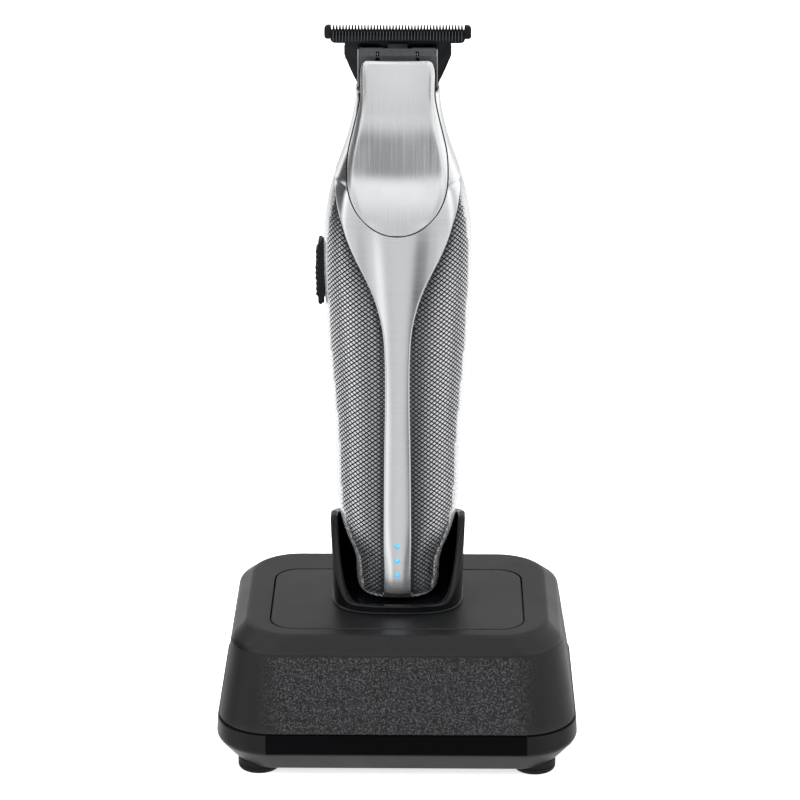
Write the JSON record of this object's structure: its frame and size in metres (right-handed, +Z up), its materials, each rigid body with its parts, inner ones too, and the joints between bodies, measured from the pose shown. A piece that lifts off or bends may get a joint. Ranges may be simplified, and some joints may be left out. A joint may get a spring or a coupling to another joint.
{
  "type": "cordless hair trimmer with charging dock",
  "caption": "Cordless T-blade hair trimmer with a waisted metal body and side slider, standing in the two-pronged cup of a rounded box-shaped charging dock.",
  "frame": {"origin": "on the table, below the centre of the dock", "axes": "+X to the viewer's right along the dock's long side, +Y to the back, away from the lid and lights, +Z up towards the blades"},
  "size_m": [0.1006, 0.076, 0.2048],
  "materials": {
    "satin_metal": "satin",
    "brushed_metal": "brushed",
    "black_steel": "satin black coating",
    "bright_steel": "bright",
    "black_plastic": "fine grained",
    "gloss_black": "gloss",
    "black_rubber": "matte",
    "grey_plastic": "satin",
    "circuit_green": "lacquered",
    "battery_blue": "printed sleeve, no text",
    "copper_gold": "bright",
    "light_blue": "lit, translucent",
    "lead_red": "insulation",
    "lead_black": "insulation"
  },
  "bodies": {
    "dock": {"dock_housing": "black_plastic", "dock_top_plate": "black_plastic", "dock_bottom_cover": "black_plastic", "dock_foot_1": "black_rubber", "dock_foot_2": "black_rubber", "dock_foot_3": "black_rubber", "dock_foot_4": "black_rubber", "dock_screw_1": "bright_steel", "dock_screw_2": "bright_steel", "dock_screw_3": "bright_steel", "dock_screw_4": "bright_steel", "dock_circuit_board": "circuit_green", "dock_weight": "black_steel", "front_trim_strip": "gloss_black", "cradle": "gloss_black", "contact_block": "grey_plastic", "pin_spring_left": "bright_steel", "pin_spring_right": "bright_steel", "charger_inlet": "gloss_black"},
    "trimmer": {"front_housing": "satin_metal", "back_housing": "satin_metal", "front_lid": "brushed_metal", "housing_screw_lower": "bright_steel", "housing_screw_upper": "bright_steel", "nose_bracket": "black_plastic", "fixed_blade": "black_steel", "blade_screw_left": "bright_steel", "blade_screw_right": "bright_steel", "tension_spring": "bright_steel", "motor_can": "bright_steel", "motor_bracket": "grey_plastic", "battery_cell": "battery_blue", "main_circuit_board": "circuit_green", "status_light_1": "light_blue", "status_light_2": "light_blue", "status_light_3": "light_blue", "switch_module": "bright_steel", "motor_lead_red": "lead_red", "motor_lead_black": "lead_black", "tail_cap": "black_plastic", "trimmer_contact_left": "copper_gold", "trimmer_contact_right": "copper_gold"},
    "blade_drive": {"moving_blade": "black_steel", "drive_yoke": "grey_plastic"},
    "motor_rotor_body": {"motor_rotor": "bright_steel", "eccentric_cam": "copper_gold"},
    "power_slider_body": {"power_slider": "black_plastic", "switch_carrier": "grey_plastic"},
    "charging_pin_left_body": {"charging_pin_left": "copper_gold"},
    "charging_pin_right_body": {"charging_pin_right": "copper_gold"}
  },
  "joints": [
    {"name": "trimmer_lift", "type": "slide", "parent": "dock", "child": "trimmer", "axis": [0, 0, 1], "range_m": [0, 0.07]},
    {"name": "power_switch", "type": "slide", "parent": "trimmer", "child": "power_slider_body", "axis": [0, 0, 1], "range_m": [0, 0.0045]},
    {"name": "motor_spin", "type": "hinge", "parent": "trimmer", "child": "motor_rotor_body", "pos_m": [0, 0.002, 0.178], "axis": [0, 0, 1], "range_deg": [-90, 90]},
    {"name": "blade_stroke", "type": "slide", "parent": "trimmer", "child": "blade_drive", "axis": [1, 0, 0], "range_m": [-0.0012, 0.0012]},
    {"name": "charging_pin_left_press", "type": "slide", "parent": "dock", "child": "charging_pin_left_body", "axis": [0, 0, 1], "range_m": [-0.0012, 0], "stiffness_N_per_m": 300, "springref_m": 0.0003, "deforming": ["pin_spring_left"]},
    {"name": "charging_pin_right_press", "type": "slide", "parent": "dock", "child": "charging_pin_right_body", "axis": [0, 0, 1], "range_m": [-0.0012, 0], "stiffness_N_per_m": 300, "springref_m": 0.0003, "deforming": ["pin_spring_right"]}
  ],
  "couplings": [
    {"joint": "motor_spin", "follows": "blade_stroke", "rad_per_m": 1308.9}
  ]
}
